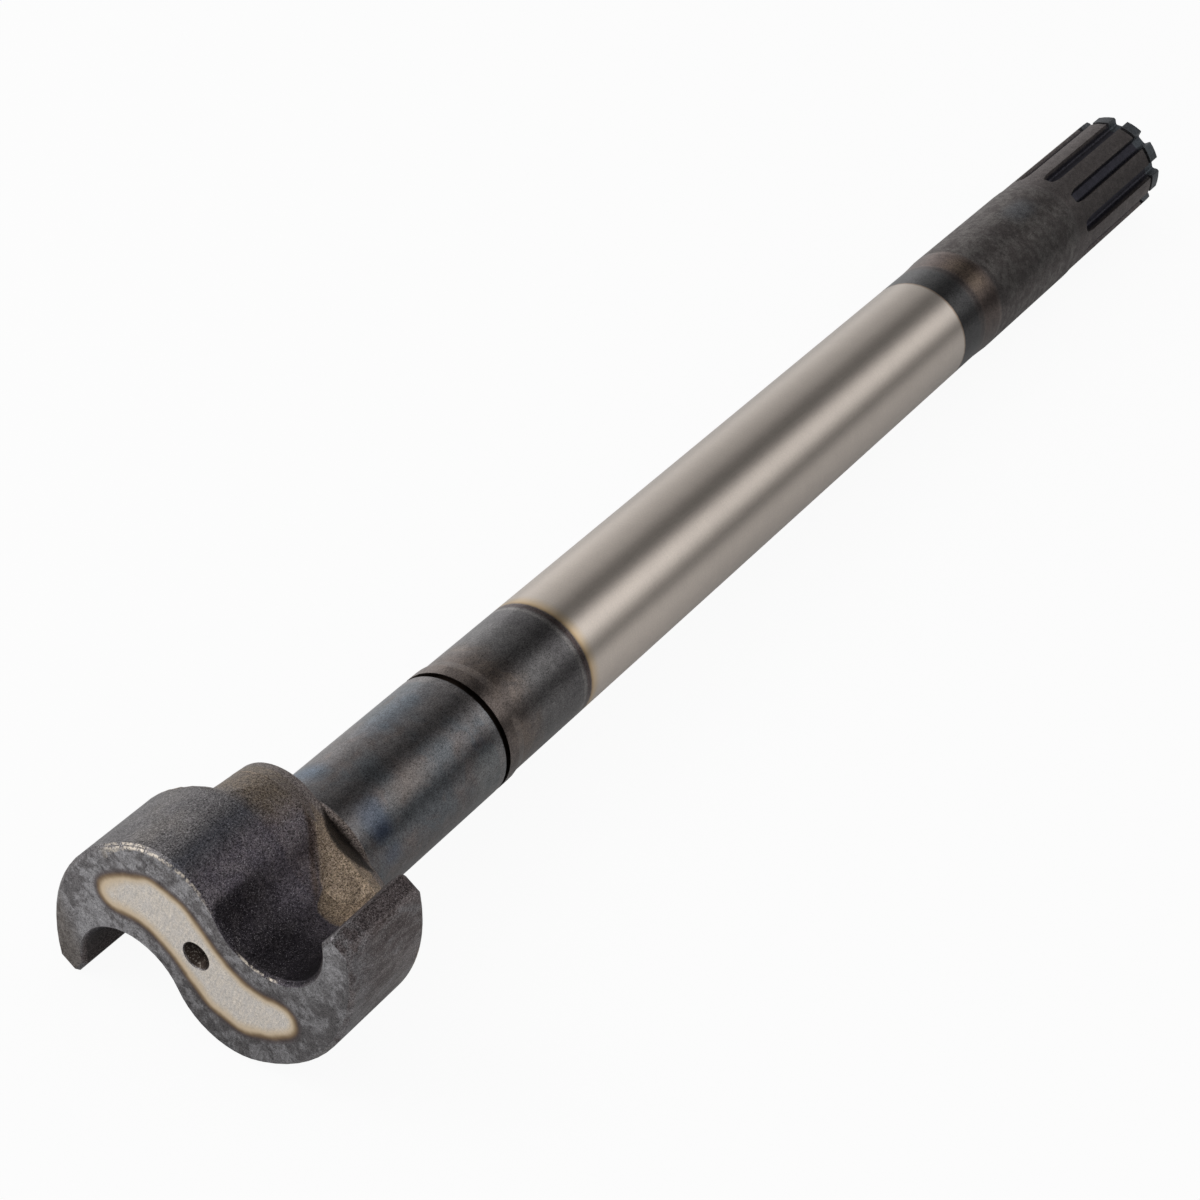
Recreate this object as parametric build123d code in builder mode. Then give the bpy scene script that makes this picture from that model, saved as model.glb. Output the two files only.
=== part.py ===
import os
from math import acos, atan2, cos, degrees, hypot, radians, sin, sqrt

from build123d import *

# S-cam brake camshaft, forged in one piece and turned on its journals, in millimetres.
# The shaft's axis is X. X = 0 is the machined shoulder where the cam journal starts.
# The S-shaped head is on the -X side, and the splined end is at the far +X end.
# The part is turned about X as it lies on a bench: on one lobe's tip and the other's crest.

# Lengths along the shaft, from the shoulder towards the spline
cam_journal_length = 57.6
snap_groove_width = 2.0
land_length = 4.0
land_taper_length = 3.0
plain_shaft_length = 275.0
journal_ramp_length = 9.0
outer_journal_length = 62.0
spline_step_length = 4.0
spline_plain_length = 5.9
run_out_length = 6.0
spline_length = 58.7
retainer_groove_to_end = 6.6
retainer_groove_width = 1.8

# Diameters of the turned shaft
journal_diameter = 38.1
shaft_diameter = 37.1
spline_diameter = 37.5
snap_groove_depth = 1.5
retainer_groove_depth = 1.4
end_chamfer = 1.0

# Parallel-sided spline
tooth_count = 10
tooth_width = 6.3
slot_depth = 3.1
slot_root_radius = 0.9
spline_phase = 24.3

# Centre holes in both ends
centre_hole_radius = 1.9
centre_mouth_radius = 4.2
centre_hole_depth = 10.0
centre_cone_angle = 60

# Oblong boss between the head and the journal. It turns as it grows from a narrow root to its
# ridge, and falls behind it to the machined shoulder.
boss_length = 17.5
boss_reach = 28.4
boss_angle = 63.0
boss_edge_radius = 1.2
boss_rounding = 0.98
ridge_angle = 58.0
ridge_half_width = 19.9
ridge_corner_radius = 15.0
ridge_to_shoulder = 7.6
root_reach = 30.0
root_angle = 30.0
root_half_width = 7.0
neck_reach = 29.2
neck_half_width = 22.0
neck_corner_radius = 17.0
shoulder_half_width = 16.3

# Collar that carries the cam journal's front end, in front of the machined shoulder
collar_length = 2.7
collar_throat_radius = 16.4

# S-shaped cam head, one lobe; the other is the same lobe turned by half a turn
cam_width = 28.1
crest_radius = 20.9
crest_offset = 7.5
crest_rise = 10.4
flank_radius = 46.8
flank_start_angle = 91.9
crease_angle = 13.0
tip_end_angle = -32.0
tip_end_width = 5.5
tip_corner_radius = 1.15
lip_angle = -120.0
lip_corner_radius = 1.5
pocket_radius = 16.2
pocket_drop = 11.5
front_bevel = 1.1
rear_edge_radius = 1.8

# Radii that follow from the diameters
journal_radius = journal_diameter / 2
shaft_radius = shaft_diameter / 2
spline_radius = spline_diameter / 2
slot_floor_radius = spline_radius - slot_depth

# Stations along X that follow from the lengths
groove_start = cam_journal_length
groove_end = groove_start + snap_groove_width
land_end = groove_end + land_length
taper_end = land_end + land_taper_length
ramp_start = taper_end + plain_shaft_length
outer_journal_start = ramp_start + journal_ramp_length
outer_journal_end = outer_journal_start + outer_journal_length
spline_start = outer_journal_end + spline_step_length
run_out_start = spline_start + spline_plain_length
full_slot_start = run_out_start + run_out_length
shaft_end = full_slot_start + spline_length
retainer_groove_end = shaft_end - retainer_groove_to_end
retainer_groove_start = retainer_groove_end - retainer_groove_width
cam_rear = -boss_length
cam_front = cam_rear - cam_width


def along(angle, length):
    """A vector in the head's own section, of a length and an angle from its first axis."""
    return Vector(length * cos(radians(angle)), length * sin(radians(angle)))


def angle_of(vector):
    """The angle of a section vector in degrees."""
    return degrees(atan2(vector.Y, vector.X))


# One lobe in the head's section: crest, flank, flat tip end, flat lip and roller pocket. Past
# the crease between flank and tip end, each stretch is tangent to the next, and the pocket
# runs into the other lobe's crest.
crest_centre = Vector(crest_offset, crest_rise)
other_crest_centre = -crest_centre
flank_centre = crest_centre - along(flank_start_angle, flank_radius - crest_radius)
tip_crease = flank_centre + along(crease_angle, flank_radius)
tip_end_normal = along(tip_end_angle, 1)
tip_end = tip_crease + along(tip_end_angle - 90, tip_end_width)
tip_centre = tip_end - tip_end_normal * tip_corner_radius
pocket_reach = sqrt((pocket_radius + crest_radius) ** 2 - (crest_rise - pocket_drop) ** 2)
pocket_centre = Vector(pocket_reach - crest_offset, -pocket_drop)
neck_angle = angle_of(other_crest_centre - pocket_centre) % 360

# The lip's inner corner touches the flat of the lip and the pocket's arc.
lip_normal = along(lip_angle, 1)
lip_height = (tip_centre - pocket_centre).dot(lip_normal) + tip_corner_radius - lip_corner_radius
corner_span = pocket_radius + lip_corner_radius
pocket_start_angle = lip_angle + degrees(acos(lip_height / corner_span))
corner_centre = pocket_centre + along(pocket_start_angle, corner_span)
corner_end_angle = pocket_start_angle - 180

# The head rests on one tip and on the other lobe's crest, which sets its turn about X.
rest_line = tip_centre - other_crest_centre
rest_normal = angle_of(rest_line) - degrees(
    acos((crest_radius - tip_corner_radius) / hypot(rest_line.X, rest_line.Y))
)
roll = -90 - rest_normal


def section(x):
    """The plane square to the shaft at x, with the head's own section axes."""
    first_axis = (0, cos(radians(roll)), sin(radians(roll)))
    return Plane(origin=(x, 0, 0), x_dir=first_axis, z_dir=(1, 0, 0))


def lobe_arc(centre, radius, start, end, turn):
    """One arc of a lobe, from start to end angle, with the lobe turned about the axis."""
    turned = centre.rotate(Axis.Z, turn)
    CenterArc((turned.X, turned.Y), radius, start + turn, end - start)


# The S-shaped section of both lobes
with BuildSketch() as s_section:
    with BuildLine():
        for turn in (0, 180):
            lobe_arc(crest_centre, crest_radius, neck_angle, flank_start_angle, turn)
            lobe_arc(flank_centre, flank_radius, flank_start_angle, crease_angle, turn)
            Line(tip_crease.rotate(Axis.Z, turn), tip_end.rotate(Axis.Z, turn))
            lobe_arc(tip_centre, tip_corner_radius, tip_end_angle, lip_angle, turn)
            Line(
                (tip_centre + lip_normal * tip_corner_radius).rotate(Axis.Z, turn),
                (corner_centre + lip_normal * lip_corner_radius).rotate(Axis.Z, turn),
            )
            lobe_arc(corner_centre, lip_corner_radius, lip_angle, corner_end_angle, turn)
            lobe_arc(pocket_centre, pocket_radius, pocket_start_angle, neck_angle, turn)
    make_face()

# The head is an S-shaped block, bevelled round its front face and rounded behind.
with BuildPart() as cam_head:
    with BuildSketch(section(cam_front)):
        add(s_section.sketch)
    extrude(amount=cam_width)
    chamfer(cam_head.faces().sort_by(Axis.X)[0].edges(), length=front_bevel)
    rear_edges = cam_head.faces().sort_by(Axis.X)[-1].edges()
    outer_radii = [round(value, 3) for value in (crest_radius, flank_radius)]
    outer_edges = rear_edges.filter_by(
        lambda edge: edge.geom_type == GeomType.CIRCLE and round(edge.radius, 3) in outer_radii
    )
    fillet(outer_edges, radius=rear_edge_radius)

# The neck carries the S on behind the lobes and narrows to the boss's ridge.
root_start = cam_rear - rear_edge_radius
neck_length = -root_start - ridge_to_shoulder
with BuildPart() as neck:
    with BuildSketch(section(root_start)):
        add(s_section.sketch)
    extrude(amount=neck_length)
    with BuildSketch(section(root_start)):
        RectangleRounded(
            2 * neck_reach, 2 * neck_half_width, neck_corner_radius, rotation=ridge_angle
        )
    with BuildSketch(section(-ridge_to_shoulder)):
        RectangleRounded(
            2 * boss_reach, 2 * ridge_half_width, ridge_corner_radius, rotation=ridge_angle
        )
    loft(ruled=True, mode=Mode.INTERSECT)

# The boss swells from its root in the neck to its ridge and falls again to the shoulder.
boss_sections = (
    (root_start, root_reach, root_half_width, root_half_width, root_angle),
    (-ridge_to_shoulder, boss_reach, ridge_half_width, ridge_corner_radius, ridge_angle),
    (0, boss_reach, shoulder_half_width, shoulder_half_width, boss_angle),
)
with BuildPart() as boss:
    for x, reach, half_width, corner, angle in boss_sections:
        with BuildSketch(section(x)):
            RectangleRounded(2 * reach, 2 * half_width, boss_rounding * corner, rotation=angle)
    loft(ruled=True)
    fillet(boss.faces().sort_by(Axis.X)[-1].edges(), radius=boss_edge_radius)

# The slot between two teeth, as a cutter that lifts out of the shaft at its inner end.
lift_radius = (run_out_length**2 + slot_depth**2) / (2 * slot_depth)
half_pitch = radians(180 / tooth_count)
slot_top = spline_radius + end_chamfer


def slot_half_width(radius):
    """Half the slot's width at a radius, beside a tooth with parallel sides."""
    return (radius * sin(half_pitch) - tooth_width / 2) / cos(half_pitch)


with BuildPart() as slot_cutter:
    with BuildSketch(Plane(origin=(full_slot_start, 0, 0), x_dir=(0, 1, 0), z_dir=(1, 0, 0))) as slot:
        with BuildLine():
            Polyline(
                (-slot_half_width(slot_floor_radius), slot_floor_radius),
                (slot_half_width(slot_floor_radius), slot_floor_radius),
                (slot_half_width(slot_top), slot_top),
                (-slot_half_width(slot_top), slot_top),
                close=True,
            )
        make_face()
        fillet(slot.vertices().group_by(Axis.Y)[0], radius=slot_root_radius)
    extrude(amount=spline_length + end_chamfer)
    lift_axis = Axis((full_slot_start, 0, slot_floor_radius + lift_radius), (0, 1, 0))
    revolve(slot.sketch, axis=lift_axis, revolution_arc=90)

# The whole camshaft: turned shaft, boss and head in one, then slots and centre holes.
with BuildPart() as camshaft:
    with BuildSketch(Plane.XZ):
        with BuildLine():
            Polyline(
                (cam_rear, 0),
                (-collar_length, collar_throat_radius),
                (0, journal_radius),
                (groove_start, journal_radius),
                (groove_start, journal_radius - snap_groove_depth),
                (groove_end, journal_radius - snap_groove_depth),
                (groove_end, journal_radius),
                (land_end, journal_radius),
                (taper_end, shaft_radius),
                (ramp_start, shaft_radius),
                (outer_journal_start, journal_radius),
                (outer_journal_end, journal_radius),
                (spline_start, spline_radius),
                (retainer_groove_start, spline_radius),
                (retainer_groove_start, spline_radius - retainer_groove_depth),
                (retainer_groove_end, spline_radius - retainer_groove_depth),
                (retainer_groove_end, spline_radius),
                (shaft_end - end_chamfer, spline_radius),
                (shaft_end, spline_radius - end_chamfer),
                (shaft_end, 0),
                close=True,
            )
        make_face()
    revolve(axis=Axis.X)
    add(boss.part)
    add(neck.part)
    add(cam_head.part)
    for tooth in range(tooth_count):
        turn = roll + spline_phase - 90 + 360 / tooth_count * (tooth + 0.5)
        add(slot_cutter.part, rotation=(turn, 0, 0), mode=Mode.SUBTRACT)
    for end_x, outward in ((cam_front, -1), (shaft_end, 1)):
        with Locations(Plane(origin=(end_x, 0, 0), z_dir=(outward, 0, 0))):
            CounterSinkHole(
                radius=centre_hole_radius,
                counter_sink_radius=centre_mouth_radius,
                depth=centre_hole_depth,
                counter_sink_angle=centre_cone_angle,
            )

camshaft.part.label = "camshaft"

os.makedirs("parts", exist_ok=True)
export_step(camshaft.part, "parts/camshaft.step")
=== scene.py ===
import math

import bpy
from mathutils import Matrix, Vector

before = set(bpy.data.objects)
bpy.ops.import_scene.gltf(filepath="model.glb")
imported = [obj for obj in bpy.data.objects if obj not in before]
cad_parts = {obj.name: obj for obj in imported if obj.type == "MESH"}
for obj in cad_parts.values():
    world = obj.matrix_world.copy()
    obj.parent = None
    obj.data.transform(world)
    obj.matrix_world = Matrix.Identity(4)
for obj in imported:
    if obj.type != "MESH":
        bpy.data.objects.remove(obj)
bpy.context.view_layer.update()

# Sizes of the camshaft that the finish follows, in millimetres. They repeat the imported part's own.
FACE = -45.6
BEVEL = 1.1
HEAD_REAR = -17.5
RIDGE = -7.6
COLLAR = -2.7
JOURNAL = 57.6
GROOVE = 59.6
RAMP_END = 350.6
SPLINE = 416.6
RETAINER_END = 480.6
HEAD_ROLL = math.radians(-21.438)
CREST = (-7.5, 10.4)
CREST_RADIUS = 20.9
HOLLOW = (29.58, 11.5)
HOLLOW_RADIUS = 16.2

# Where the heat-tinted skin gives way to bare steel, near the head and near the spline
TINT_END = 99.4
FAR_TINT = 326.05
MID_SHAFT = 200.0

# Colours, as linear red, green and blue
BARE = ((0.61, 0.545, 0.485), (0.54, 0.480, 0.432))
STRAW = (0.62, 0.46, 0.26)
STRAW_EDGE = (0.40, 0.26, 0.14)
BROWN_LINE = (0.24, 0.15, 0.09)
SLATE = (0.168, 0.158, 0.158)
COOL_SLATE = (0.140, 0.148, 0.158)
BROWN_SKIN = (0.185, 0.144, 0.128)
GROOVE_LIP = (0.26, 0.24, 0.235)
BROWN_LAND = (0.160, 0.134, 0.122)
GREY_NECK = (0.156, 0.150, 0.150)
GOLDEN_NECK = (0.230, 0.185, 0.155)
DARK_NECK = (0.120, 0.113, 0.117)
LIGHT_RING = (0.30, 0.28, 0.27)
DARK_RING = (0.085, 0.060, 0.058)
FAR_BLACK = (0.054, 0.053, 0.054)
FAR_BROWN = (0.094, 0.072, 0.064)
FAR_GOLD = (0.170, 0.128, 0.096)
FAR_LINE = (0.034, 0.028, 0.028)
FAR_JOURNAL = ((0.074, 0.064, 0.062), (0.112, 0.103, 0.098))
FAR_BLUE = (0.110, 0.120, 0.135)
TOOTH = (0.088, 0.076, 0.074)
SLOT_BLUE_AND_SHADE = (0.030, 0.030, 0.044)
SHAFT_END = (0.085, 0.100, 0.112)
SCALE = ((0.165, 0.156, 0.160), (0.205, 0.194, 0.196))
TAN_SCALE = (0.200, 0.180, 0.162)
VIOLET = ((0.086, 0.076, 0.090), (0.135, 0.120, 0.132))
CREST_DARK_REFLECTION = (0.072, 0.076, 0.094)
BROWN_TIP = (0.150, 0.128, 0.122)
TIP_END = (0.078, 0.064, 0.064)
FLANK_DARK = (0.092, 0.074, 0.072)
FLANK_LIGHT = (0.225, 0.215, 0.220)
NEAR_FACE = (0.225, 0.217, 0.224)
SAND = ((0.420, 0.325, 0.235), (0.260, 0.200, 0.150))
SAND_EDGE_SHADE = (0.185, 0.142, 0.108)
SEAM_SHADE = (0.105, 0.078, 0.064)
CREASE_SHADE = (0.095, 0.068, 0.055)
LIT_HUMP = ((0.250, 0.198, 0.148), (0.180, 0.145, 0.115))
RIDGE_SHADE = (0.120, 0.096, 0.084)
COLLAR_SKIN = (0.185, 0.158, 0.150)
VALLEY_SHADE = (0.018, 0.014, 0.012)
GLINT_SPECK = (0.60, 0.58, 0.59)
BORDER = ((0.158, 0.150, 0.153), (0.295, 0.288, 0.297))
BORDER_LIGHT = (0.34, 0.335, 0.345)
BORDER_BROWN = (0.160, 0.136, 0.116)
PALE = ((0.76, 0.695, 0.62), (0.62, 0.58, 0.54))
PALE_OUTLINE = (0.105, 0.078, 0.076)
PALE_BROWN = (0.30, 0.205, 0.115)
PALE_STRAW = (0.69, 0.55, 0.375)
WORN = (0.76, 0.68, 0.58)
GROOVE_SHADE = (0.050, 0.040, 0.034)
HOLE_SHADE = (0.050, 0.038, 0.032)
HOLE_GLINT = (0.30, 0.27, 0.24)

# Paint on the cam journal: colour, reach along the shaft, range of angles, softness, share
JOURNAL_PATCHES = [
    ((0.110, 0.145, 0.195), (5.0, 12.0), (80.0, 112.0), (3.0, 12.0), 0.75),
    ((0.095, 0.118, 0.160), (4.0, 12.0), (12.0, 36.0), (3.0, 10.0), 0.7),
    ((0.060, 0.078, 0.125), (5.0, 11.0), (3.0, 16.0), (2.4, 6.0), 0.8),
    ((0.110, 0.130, 0.170), (5.5, 11.5), (-22.0, -4.0), (2.5, 7.0), 0.6),
    ((0.130, 0.155, 0.185), (28.0, 51.0), (70.0, 94.0), (6.0, 8.0), 0.6),
    ((0.215, 0.180, 0.160), (15.0, 30.0), (14.0, 36.0), (5.0, 6.0), 0.55),
    ((0.200, 0.205, 0.205), (45.0, 57.0), (-50.0, 2.0), (2.5, 5.0), 0.6),
    ((0.075, 0.070, 0.078), (47.0, 52.5), (8.0, 15.0), (1.2, 2.0), 0.6),
]

# Circles that make up one half of the pale middle of the front face: a, b and radius
PALE_SPOTS = [
    (0.0, 0.0, 8.1),
    (1.6, -4.0, 8.6),
    (-1.6, 4.0, 8.6),
    (-4.2, 9.3, 9.2),
    (-8.3, 13.5, 8.7),
    (-14.0, 15.4, 7.0),
    (-18.4, 16.0, 5.7),
    (-21.6, 16.0, 4.7),
]


# Arithmetic on shader values
class Val:
    """A value that varies over the surface: the output socket of a node."""

    def __init__(self, socket):
        self.socket = socket

    def __add__(self, other):
        return calc("ADD", self, other)

    def __sub__(self, other):
        return calc("SUBTRACT", self, other)

    def __rsub__(self, other):
        return calc("SUBTRACT", other, self)

    def __mul__(self, other):
        return calc("MULTIPLY", self, other)

    def __truediv__(self, other):
        return calc("DIVIDE", self, other)

    __radd__ = __add__
    __rmul__ = __mul__


class Graph:
    """The node tree that is being written."""

    tree = None


def start(owner):
    """Empties the node tree of a material or world, and makes it the one that is written."""
    owner.use_nodes = True
    Graph.tree = owner.node_tree
    Graph.tree.nodes.clear()


def feed(socket, value):
    """Links a value to a socket, or sets the socket to a plain number or colour."""
    if isinstance(value, Val):
        Graph.tree.links.new(value.socket, socket)
    elif isinstance(value, tuple) and socket.type == "RGBA":
        socket.default_value = (*value, 1.0)
    else:
        socket.default_value = value


def node(kind, inputs, output=0, **settings):
    """Adds a node, sets it up and returns one of its outputs."""
    made = Graph.tree.nodes.new("ShaderNode" + kind)
    for name, value in settings.items():
        setattr(made, name, value)
    for key, value in inputs.items():
        feed(made.inputs[key], value)
    return Val(made.outputs[output])


def finish_with(kind, shader):
    """Links the finished shader to the output of the tree."""
    output = Graph.tree.nodes.new("ShaderNodeOutput" + kind)
    feed(output.inputs["Surface"], shader)


def calc(operation, *values):
    """One step of arithmetic."""
    return node("Math", dict(enumerate(values)), operation=operation)


def rise(value, low, high):
    """0 below low and 1 above high, with a smooth step between. High may be the lower one."""
    inputs = {"Value": value, "From Min": low, "From Max": high}
    return node("MapRange", inputs, interpolation_type="SMOOTHSTEP", clamp=True)


def band(value, low, high, soft):
    """1 between low and high, with soft edges."""
    return rise(value, low - soft, low + soft) * rise(value, high + soft, high - soft)


def least(first, second):
    return calc("MINIMUM", first, second)


def most(first, second):
    return calc("MAXIMUM", first, second)


def mixed(first, second, factor):
    """The first colour or number, with the second over it by the factor."""
    if isinstance(first, float):
        return first + (second - first) * factor
    inputs = {"Factor": factor, 6: first, 7: second}
    return node("Mix", inputs, 2, data_type="RGBA", blend_type="MIX")


def shaded(colour, amount):
    """A colour made lighter or darker by a factor."""
    return node("VectorMath", {0: colour, "Scale": amount}, operation="SCALE")


def vector(*parts):
    return node("CombineXYZ", dict(enumerate(parts)))


def parted(whole):
    """The three parts of a vector."""
    return [node("SeparateXYZ", {0: whole}, part) for part in range(3)]


def noise(place, scale, detail=3.0, rough=0.55, warp=0.0):
    """Soft noise from 0 to 1 with about scale features in a millimetre."""
    inputs = {
        "Vector": place,
        "Scale": scale,
        "Detail": detail,
        "Roughness": rough,
        "Distortion": warp,
    }
    return node("TexNoise", inputs)


def ramp(value, stops):
    """A brightness that follows (place, brightness) stops."""
    made = Graph.tree.nodes.new("ShaderNodeValToRGB")
    made.color_ramp.interpolation = "LINEAR"
    elements = made.color_ramp.elements
    while len(elements) < len(stops):
        elements.new(1.0)
    for element, (place, level) in zip(elements, stops):
        element.position = place
        element.color = (level, level, level, 1.0)
    feed(made.inputs[0], value)
    return Val(made.outputs[0])


def distance(right, high, centre):
    """How far a point of the head's section lies from a centre."""
    across = calc("POWER", right - centre[0], 2.0)
    along = calc("POWER", high - centre[1], 2.0)
    return calc("POWER", across + along, 0.5)


def degrees(high, right):
    """The angle of a direction in the section, from its right."""
    return calc("DEGREES", calc("ARCTAN2", high, right))


def grey(level):
    return (level, level, level)


# The forged, hardened and ground steel of the camshaft, on coordinates in millimetres
steel = bpy.data.materials.new("forged_steel")
start(steel)
place = node("VectorMath", {0: node("TexCoord", {}, 3), "Scale": 1000.0}, operation="SCALE")
x, y, z = parted(place)
normal = node("NewGeometry", {}, 1)
normal_x = node("SeparateXYZ", {0: normal}, 0)

# On the turned shaft the normal points straight away from the axis, also across the facets
outward = node("VectorMath", {0: vector(0.0, y, z)}, operation="NORMALIZE")
facing = node("VectorMath", {0: normal, 1: outward}, 1, operation="DOT_PRODUCT")
lean = calc("SQRT", most(1.0 - normal_x * normal_x, 0.0))
turned_parts = {0: shaded(outward, lean), 1: vector(normal_x, 0.0, 0.0)}
turned_normal = node("VectorMath", turned_parts, operation="ADD")
is_turned = calc("GREATER_THAN", facing, lean * 0.985) * calc("GREATER_THAN", x, -0.02)

# Section coordinates of the head: a to the right and b up as its face is seen
a = (y * math.cos(HEAD_ROLL) + z * math.sin(HEAD_ROLL)) * -1.0
b = z * math.cos(HEAD_ROLL) - y * math.sin(HEAD_ROLL)
radius = distance(a, b, (0.0, 0.0))
angle = degrees(b, a)
folded = calc("FLOORED_MODULO", angle + 90.0, 180.0) - 90.0

# Unevenness of the colour and the skin, from broad clouds to fine grain
broad = noise(place, 0.05, 3.0)
cloud = noise(place, 0.14, 4.0, 0.6, 0.6)
mottle = noise(place, 0.45, 4.0, 0.6)
grain = noise(place, 1.9, 3.0, 0.7)
fine = noise(place, 4.2, 2.0, 0.6)
wander = (noise(place, 0.09, 2.0) - 0.5) * 2.0
ragged = (noise(place, 0.8, 3.0, 0.6) - 0.5) * 2.0
rings = noise(vector(x * 3.0, y * 0.12, z * 0.12), 1.0, 3.0, 0.6)


def speckle(of_grain, of_fine, of_mottle, mean, floor):
    """A factor that varies about its mean with the fine grain, and stays above a floor."""
    uneven = (grain - 0.5) * of_grain + (fine - 0.5) * of_fine + (mottle - 0.5) * of_mottle
    return most(uneven + mean, floor)


blasted = speckle(4.2, 4.0, 1.0, 1.0, 0.22)
toned = speckle(2.0, 2.4, 0.9, 0.98, 0.35)

# Where the section's hollows and crests lie, and how far a point stands out of the S outline.
# The turned coordinates bring the lower lobe onto the upper one by half a turn.
side = calc("SIGN", b + a * -0.0001)
turned = (a * side, b * side)
other_hollow = (-HOLLOW[0], -HOLLOW[1])
from_hollow = least(distance(a, b, HOLLOW), distance(a, b, other_hollow))
from_crest = distance(*turned, CREST)
above = rise(calc("ABSOLUTE", b), 10.8, 11.2)
out_of_hollow = HOLLOW_RADIUS - from_hollow
out_of_crest = from_crest - CREST_RADIUS
proud = out_of_hollow * (1.0 - above) + out_of_crest * above
tip_a = calc("ABSOLUTE", a)
end_b = b * calc("SIGN", a)
past_groove = rise(x, JOURNAL + 0.9, JOURNAL + 1.1)


def patch(colour, paint, xs, angles, soft, share):
    """Paint over a stretch of the shaft and a range of angles round it."""
    along = band(x + wander * 1.2, *xs, soft[0])
    around = band(angle + wander * 4.0, *angles, soft[1])
    return mixed(colour, paint, along * around * share)


def bare_steel():
    """Ground steel, warm and satin, with faint grinding rings, straw near the tinted skin."""
    bare = mixed(*BARE, cloud)
    bare = shaded(bare, 0.66 + rings * 0.13 + grain * 0.30 + fine * 0.24)
    bare = shaded(bare, mixed(1.12, 0.98, rise(x, 115.0, 190.0)))
    halo = rise(x + wander * 0.6, TINT_END + 4.8, TINT_END)
    bare = mixed(bare, STRAW, halo * 0.85)
    bare = mixed(bare, STRAW_EDGE, rise(x, TINT_END + 1.4, TINT_END) * 0.6)
    return mixed(bare, BROWN_LINE, rise(x, FAR_TINT - 1.2, FAR_TINT - 0.1) * 0.75)


def near_skin():
    """Heat-tinted skin from the shoulder to the bare steel, with painted light on top and painted
    shade on the side.
    """
    skin = mixed(SLATE, COOL_SLATE, rise(broad, 0.46, 0.62))
    skin = mixed(skin, BROWN_SKIN, rise(cloud, 0.50, 0.66) * 0.35)
    for spot in JOURNAL_PATCHES:
        skin = patch(skin, *spot)
    skin = mixed(skin, GROOVE_LIP, band(x, 54.8, 57.3, 0.5) * 0.4)

    # Browner beyond the ring groove, with a light line and a dark ring before the bare steel
    beyond = mixed(BROWN_LAND, GREY_NECK, rise(x + wander * 5.0, 66.0, 80.0))
    golden = band(x + wander * 2.0, 63.0, 75.0, 4.0) * rise(cloud, 0.44, 0.6)
    beyond = mixed(beyond, GOLDEN_NECK, golden * 0.5)
    beyond = mixed(beyond, DARK_NECK, band(x, 88.0, 95.0, 3.0) * 0.6)
    beyond = mixed(beyond, LIGHT_RING, band(x, 95.7, 96.9, 0.4) * 0.5)
    beyond = mixed(beyond, DARK_RING, band(x, 97.3, 99.2, 0.7) * 0.8)
    skin = mixed(skin, beyond, past_groove)

    # Painted shade on the side and painted light on top, by the angle round the shaft
    lower = mixed(0.84, 0.95, rise(angle, 60.0, 85.0))
    skin = shaded(skin, mixed(0.95, lower, past_groove))
    return shaded(skin, mixed(1.0, 1.60, rise(angle, 72.0, 104.0)))


def far_skin():
    """Far neck, outer journal and spline, with painted shade on the side and painted light on top.
    """
    far = mixed(FAR_BLACK, FAR_BROWN, rise(x + wander * 1.5 + ragged * 0.8, 336.0, 342.0))
    far = patch(far, FAR_GOLD, (341.5, 349.5), (22.0, 66.0), (2.5, 12.0), 0.7)
    far = mixed(far, FAR_LINE, band(x + ragged * 0.5, 338.6, 340.6, 1.0) * 0.6)
    journal = mixed(*FAR_JOURNAL, rise(cloud * 0.6 + mottle * 0.4, 0.42, 0.60))
    journal = patch(journal, FAR_BLUE, (388.0, 402.0), (48.0, 72.0), (5.0, 8.0), 0.5)
    far = mixed(far, journal, rise(x, RAMP_END + 0.9, RAMP_END + 2.9))
    far = mixed(far, TOOTH, rise(x + wander, 412.5, 418.0) * 0.8)
    # Painted light on top, a band of painted shade on the side, and painted light low down, by the
    # angle round the shaft
    far = shaded(far, mixed(0.95, 1.75, rise(angle, 32.0, 84.0)))
    dim = rise(x, 340.0, 351.0) * band(angle, -4.0, 26.0, 7.0)
    far = shaded(far, mixed(1.0, 0.72, dim))
    low = rise(x, 350.0, 352.0) * rise(angle, -6.0, -22.0)
    far = shaded(far, mixed(1.0, 1.35, low))
    # The dark blue of the slot floors, deepened as painted shade
    in_slot = rise(radius, 18.2, 16.9) * rise(x, SPLINE + 4.4, SPLINE + 7.4)
    far = mixed(far, SLOT_BLUE_AND_SHADE, in_slot * 0.9)
    return mixed(far, SHAFT_END, rise(x, RETAINER_END - 0.4, RETAINER_END + 0.3) * 0.75)


# The shaft: bare steel between its two tinted ends
tint = shaded(mixed(near_skin(), far_skin(), rise(x, MID_SHAFT, MID_SHAFT + 1.0)), toned)
past_tint = rise(x + wander * 0.25, TINT_END - 0.5, TINT_END + 0.5)
is_bare = past_tint * rise(x, FAR_TINT + 0.25, FAR_TINT - 0.25)
shaft = mixed(tint, bare_steel(), is_bare)

# The flat ends of the lobes and their outer flanks
tip_end = rise(tip_a, 45.4, 46.2) * rise(end_b, 6.2, 6.9)
outer = rise(tip_a, 30.0, 38.0)
on_flank = outer * rise(end_b, 6.8, 5.8) * rise(from_hollow, 16.6, 17.4)


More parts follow.
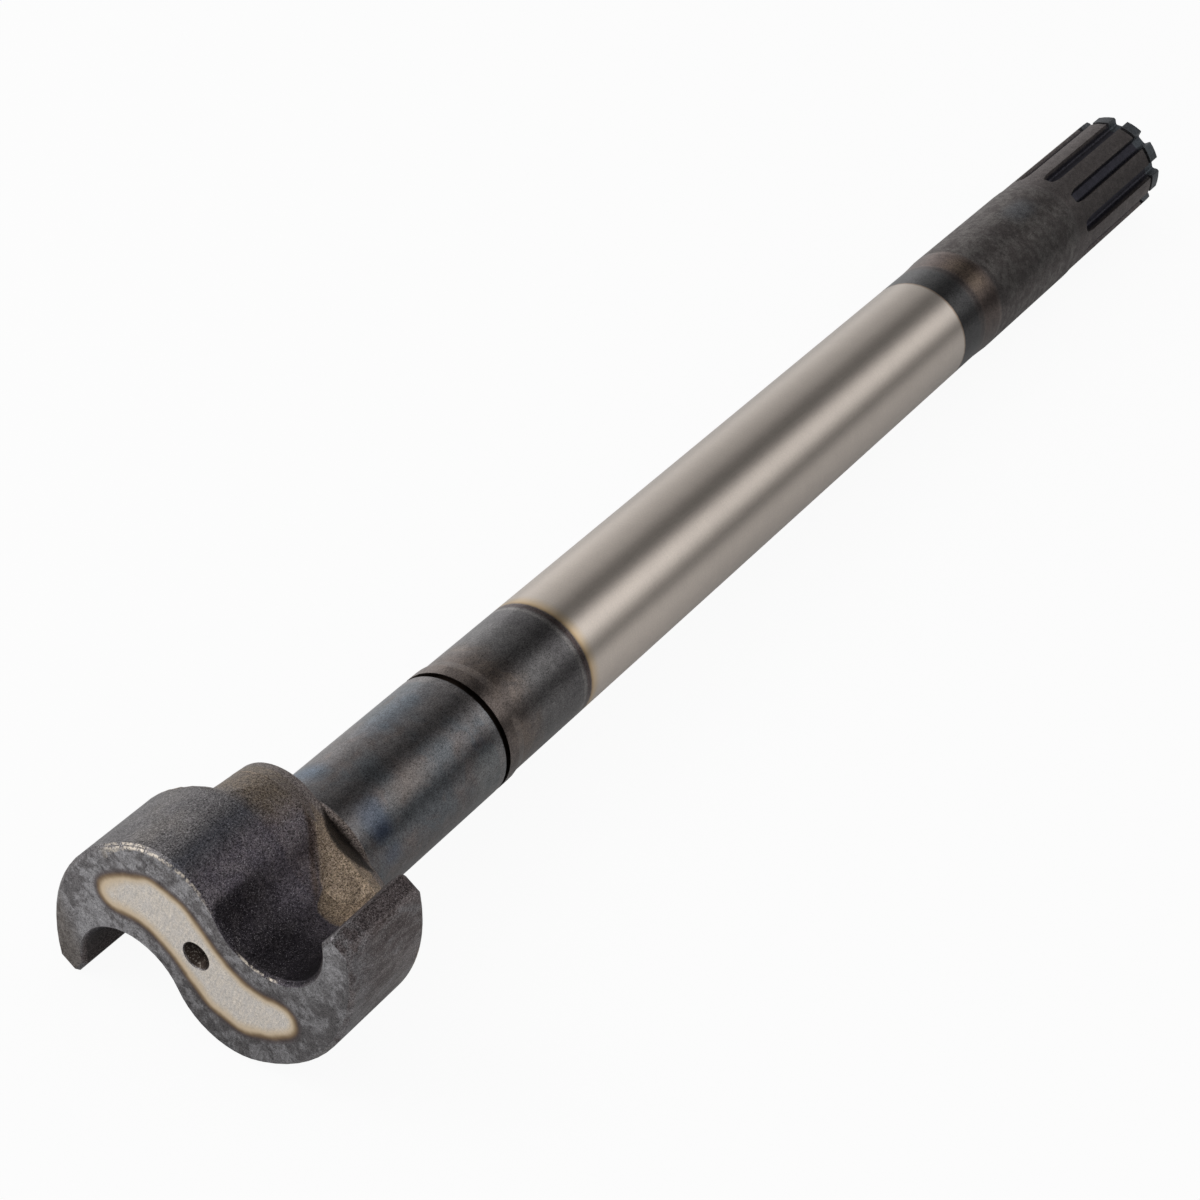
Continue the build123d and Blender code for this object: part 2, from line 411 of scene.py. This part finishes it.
def blasted_scale():
    """Scale on the head: violet-grey, with painted shade deep in the hollows and a painted dark
    reflection along the crest, browner and mottled at the tips.
    """
    scale = mixed(*SCALE, rise(cloud, 0.40, 0.64))
    scale = mixed(scale, TAN_SCALE, rise(broad, 0.52, 0.66) * 0.4)
    violet = mixed(*VIOLET, rise(cloud, 0.40, 0.66))
    scale = mixed(scale, violet, rise(from_hollow, 31.0, 21.0))
    # Painted shade deep in the hollows near the face, and in the lower hollow
    deep_hollow = rise(from_hollow, 17.6, 16.6) * rise(x, -20.0, -34.0)
    scale = shaded(scale, mixed(1.0, 0.38, deep_hollow))
    lower_hollow = rise(from_hollow, 17.0, 16.4) * rise(a, -10.0, -20.0)
    scale = shaded(scale, mixed(1.0, 0.72, lower_hollow))

    # A painted dark reflection in a band along the crest
    crest_angle = degrees(turned[1] - CREST[1], turned[0] - CREST[0])
    streak = band(crest_angle + wander * 4.0, 42.0, 56.0, 9.0) * above
    scale = mixed(scale, CREST_DARK_REFLECTION, streak * 0.75)
    scale = mixed(scale, BROWN_TIP, rise(tip_a + wander * 3.0, 38.0, 46.0) * 0.7)
    scale = mixed(scale, TIP_END, tip_end * 0.85)

    streaks = noise(vector(a * 0.22, b * 0.22, x * 0.09), 1.0, 4.0, 0.6, 0.6)
    scale = shaded(scale, 1.0 + on_flank * 0.12)
    scale = mixed(scale, FLANK_DARK, on_flank * rise(streaks, 0.48, 0.58) * 0.8)
    scale = mixed(scale, FLANK_LIGHT, on_flank * rise(streaks, 0.47, 0.37) * 0.65)
    near_face = rise(x + wander * 2.0 + ragged, -33.0, -43.0) * outer
    cloudy = rise(cloud, 0.36, 0.56)
    return mixed(scale, NEAR_FACE, near_face * most(on_flank, tip_end) * cloudy * 0.7)


def with_boss(head):
    """The boss behind the lobes: sand-brown with painted light, brown seams and creases of painted
    shade, painted shade on the ridge's side and a black valley of painted shade.
    """
    # The boss's own sand-brown tint, made lighter as painted light, and darker towards the crease as
    # painted shade
    sand = mixed(*SAND, rise(mottle, 0.36, 0.64))
    behind = rise(x, HEAD_REAR - 2.1, HEAD_REAR - 1.5)
    flare_edge = folded * 0.2 - 16.3 - rise(folded, 5.0, -4.0) * 4.5
    from_flare = x + ragged * 0.4 - flare_edge
    near_axis = rise(radius, 31.0, 28.0)
    flare = rise(from_flare, -0.4, 0.7) * band(folded, -18.0, 60.0, 5.0) * near_axis
    on_boss = most(rise(proud + ragged * 0.25, 0.1, 1.5) * behind, flare)
    sand = mixed(sand, SAND_EDGE_SHADE, rise(from_flare, 3.6, 0.2) * flare * 0.75)
    head = mixed(head, sand, on_boss)
    # Painted shade in the seam at the boss's root and in the crease beside the flare
    seam = band(proud + ragged * 0.2, 0.12, 0.8, 0.3) * behind
    head = mixed(head, SEAM_SHADE, seam * (1.0 - flare) * 0.6)
    crease = band(from_flare, -2.8, -0.5, 0.9) * band(folded, 2.0, 64.0, 7.0) * near_axis
    head = mixed(head, CREASE_SHADE, crease * 0.7)

    # Painted light on the top of the hump, over its sand-brown tint
    high = rise(turned[1] + wander * 1.5, 17.0, 27.0)
    on_top = high * rise(x + wander * 1.5, HEAD_REAR - 3.0, HEAD_REAR + 3.0)
    hump = mixed(*LIT_HUMP, rise(mottle, 0.40, 0.62))
    head = mixed(head, hump, on_top * 0.85)
    # Painted shade on the side of the ridge, over a range of angles on one side
    ridge = rise(x + ragged * 0.4, RIDGE - 1.5, RIDGE + 1.5)
    ridge = ridge * rise(angle, 88.0, 70.0) * rise(angle, 40.0, 55.0)
    head = mixed(head, RIDGE_SHADE, ridge * 0.6)
    # Painted shade: a black valley between the ridge and the collar
    from_middle = folded - 22.0
    valley_start = from_middle * from_middle * 0.0064 - 7.9
    valley = rise(x + ragged * 0.5 - valley_start, -0.4, 1.4)
    valley = valley * rise(x + ragged * 0.5, -0.6, -1.7)
    head = mixed(head, COLLAR_SKIN, rise(x, COLLAR - 1.4, COLLAR + 0.2) * 0.85)
    head = mixed(head, VALLEY_SHADE, valley * 0.93)

    # The blasted grain lies over scale and boss alike, and bright specks on it are painted glints
    head = shaded(head, blasted + (toned - blasted) * on_flank * 0.7)
    specks = rise(fine, 0.60, 0.68) * rise(grain, 0.44, 0.60) * (1.0 - valley)
    return mixed(head, GLINT_SPECK, specks * 0.6)


# How far a point of the front face lies inside its pale middle, which keeps clear of the tips
inside = PALE_SPOTS[0][2] - distance(*turned, PALE_SPOTS[0])
for spot in PALE_SPOTS[1:]:
    inside = calc("SMOOTH_MAX", inside, spot[2] - distance(*turned, spot), 3.0)
inside = inside + (mottle - 0.5) * 0.7 + (cloud - 0.5) * 0.8
on_face = rise(normal_x, -0.85, -0.97) * rise(x, FACE + 0.5, FACE + 0.2)


def front_face():
    """Hardened grey border round a pale bare middle with a straw edge and a brown outline."""
    border = mixed(*BORDER, rise(cloud + (mottle - 0.5) * 0.7, 0.40, 0.62))
    by_hollow = rise(from_hollow, 25.0, 18.5) * rise(tip_a, 26.0, 34.0)
    border = mixed(border, BORDER_LIGHT, by_hollow * 0.5)
    # Painted light: the border lighter toward the top
    border = shaded(border, mixed(0.86, 1.22, rise(b, -14.0, 16.0)))
    border = mixed(border, BORDER_BROWN, rise(a + wander * 3.0, -38.0, -48.0) * 0.7)
    border = shaded(border, toned)
    scuffs = noise(vector((a + b) * 0.16, (a - b) * 0.9, 0.0), 1.0, 3.0, 0.6)
    pale = mixed(*PALE, rise(mottle * 0.5 + scuffs * 0.5, 0.40, 0.60))
    pale = shaded(pale, 0.55 + toned * 0.45)
    face = mixed(border, PALE_OUTLINE, rise(inside, -2.1, -0.6) * 0.75)
    face = mixed(face, PALE_BROWN, rise(inside, -1.0, 0.3) * 0.85)
    face = mixed(face, PALE_STRAW, rise(inside, -0.2, 1.5))
    straw_width = mixed(4.8, 2.6, rise(a * 0.8 + b * 0.6, -14.0, 8.0))
    return mixed(face, pale, rise((inside - 0.5) / straw_width, 0.0, 1.0))


def worn_edges():
    """Bright broken lines along the crest's bevel and at the bottom of the hollow."""
    near_crest = rise(distance(a, b, CREST), CREST_RADIUS - 1.65, CREST_RADIUS - 1.3)
    crest_rim = near_crest * band(a, -17.5, 11.0, 2.5) * rise(b, 11.0, 14.0)
    hollow_rim = band(a, 15.5, 25.5, 1.5) * band(b, -7.5, 2.0, 1.5)
    front_line = rise(x, FACE + 0.55, FACE + 0.35)
    rear_line = band(x, FACE + 0.65, FACE + BEVEL, 0.1) * rise(a, 0.0, -5.0)
    rims = most(crest_rim, hollow_rim * rise(x, FACE + 0.01, FACE + 0.05))
    worn = most(rear_line, front_line) * rims
    return worn * rise(noise(place, 0.8, 3.0, 0.75), 0.42, 0.60)


head = with_boss(blasted_scale())
head = mixed(head, front_face(), on_face)
head = mixed(head, WORN, worn_edges() * 0.85)
colour = mixed(head, shaft, rise(x, -0.3, 0.2))
# Painted shade on the floor of the ring groove
deep = band(x, JOURNAL - 0.02, GROOVE + 0.02, 0.04) * rise(radius, 18.95, 18.6)
colour = mixed(colour, GROOVE_SHADE, deep)
# Painted shade inside the centre hole, with painted glints
in_hole = rise(radius, 4.3, 3.9) * rise(x, FACE + 0.1, FACE + 0.5) * rise(x, 0.0, -1.0)
colour = mixed(colour, mixed(HOLE_SHADE, HOLE_GLINT, rise(grain, 0.56, 0.66)), in_hole)

# Gloss and fine relief
is_head = rise(x, 0.2, -0.3)
pale_face = on_face * rise(inside, 0.0, 1.5)
rough = mixed(0.32, 0.33, is_bare)
places = ((0.55, rise(x, RAMP_END + 0.9, RAMP_END + 2.9)), (0.45, is_head), (0.50, on_face))
for level, where in places:
    rough = rough + (level - rough) * where
rough = rough + (grain - 0.5) * 0.12 + (rings - 0.5) * 0.06 * is_bare
metal = 1.0 - 0.45 * pale_face
relief = grain * 0.8 + fine * 0.5 + mottle * 0.8
relief_height = 0.10 + is_head * 0.85 - on_face * 0.70
surface = relief * relief_height + rings * is_bare * 0.12
even = node("Mix", {"Factor": is_turned, 4: normal, 5: turned_normal}, 1, data_type="VECTOR")
bump_inputs = {"Strength": 0.6, "Distance": 0.00025, "Height": surface, "Normal": even}
bump = node("Bump", bump_inputs)

principled = {"Base Color": colour, "Metallic": metal, "Roughness": rough, "Normal": bump}
finish_with("Material", node("BsdfPrincipled", principled))
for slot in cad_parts["camshaft"].material_slots:
    slot.material = steel


def rays():
    """1 for what the camera sees itself, and 1 for what it sees mirrored in the steel."""
    seen = node("LightPath", {}, "Is Camera Ray")
    glossy = node("LightPath", {}, "Is Glossy Ray")
    return seen, most(glossy, node("LightPath", {}, "Is Transmission Ray"))


# A plain pale floor, tilted as the camshaft lies on it: on its head and its splined end.
# Mirrored in the steel, it is darker on the camera's side, as the edge of a table would be.
HEAD_REST = (-0.0193, 0.0, -0.02784)
TILT = math.radians(-1.03)
FLOOR_SIZE = 8.0
bpy.ops.mesh.primitive_plane_add(size=FLOOR_SIZE, location=HEAD_REST, rotation=(0.0, TILT, 0.0))
floor = bpy.context.object
floor.name = "floor"
paint = bpy.data.materials.new("floor_paint")
start(paint)
paint.cycles.emission_sampling = "NONE"
seen, mirrored = rays()
floor_y = node("SeparateXYZ", {0: node("NewGeometry", {}, 0)}, 1)
matt_paint = mixed(grey(0.50), grey(0.16), mirrored * rise(floor_y, -0.09, -0.26))
matt = node("BsdfDiffuse", {"Color": matt_paint})
white = node("Emission", {"Color": grey(1.0), "Strength": 1.0})
share = seen * 0.94 + mirrored * 0.08
finish_with("Material", node("MixShader", {0: share, 1: matt, 2: white}))
floor.data.materials.append(paint)

# A white studio: soft boxes and the dark gaps between them lie in bands round the shaft.
# Each stop is a share of the half turn from +Y over the top to -Y, and its brightness.
SOFT_BOXES = [
    (0, 1),
    (0.06, 0.96),
    (0.16, 0.76),
    (0.27, 0.53),
    (0.36, 0.49),
    (0.43, 0.25),
    (0.48, 0.10),
    (0.59, 0.07),
    (0.64, 0.27),
    (0.7, 0.98),
    (0.775, 1.2),
    (0.83, 1.0),
    (0.89, 0.5),
    (0.94, 0.14),
    (1, 0.03),
]
world = bpy.data.worlds.new("studio")
bpy.context.scene.world = world
start(world)
world.cycles.sampling_method = "NONE"
east, north, up = parted(node("TexCoord", {}, 0))
boxes = ramp(degrees(up, north) / 180.0, SOFT_BOXES)
boxes = mixed(boxes, grey(0.7), rise(calc("ABSOLUTE", east), 0.86, 0.96))
seen, mirrored = rays()
sky = mixed(grey(0.80), grey(0.95), rise(up, 0.0, 1.0))
sky = mixed(sky, boxes, mirrored)
sky = mixed(sky, grey(1.0), seen)
finish_with("World", node("Background", {"Color": sky, "Strength": 1.0}))


def softbox(name, place, aim, size, power):
    """A large square lamp at a place, turned to a point."""
    lamp = bpy.data.lights.new(name, "AREA")
    lamp.size = size
    lamp.energy = power
    made = bpy.data.objects.new(name, lamp)
    made.location = place
    made.rotation_mode = "QUATERNION"
    made.rotation_quaternion = (Vector(aim) - Vector(place)).to_track_quat("-Z", "Y")
    bpy.context.collection.objects.link(made)


softbox("key", (-0.5, 0.9, 1.1), (0.1, 0.0, 0.0), 0.9, 9.0)

# The camera stands where the photograph was taken from
RIGHT = (0.552394, -0.833557, 0.006506)
UP = (0.475531, 0.321522, 0.818837)
BACK = (-0.684639, -0.449227, 0.573989)
STAND = (-0.379967, -0.335470, 0.431144)
lens = bpy.data.cameras.new("camera")
lens.lens = 77.768
lens.sensor_width = 36.0
lens.clip_start = 0.01
lens.clip_end = 50.0
camera = bpy.data.objects.new("camera", lens)
bpy.context.collection.objects.link(camera)
camera.matrix_world = Matrix.Translation(STAND) @ Matrix((RIGHT, UP, BACK)).transposed().to_4x4()
bpy.context.scene.camera = camera

bpy.context.scene.view_settings.view_transform = "Standard"
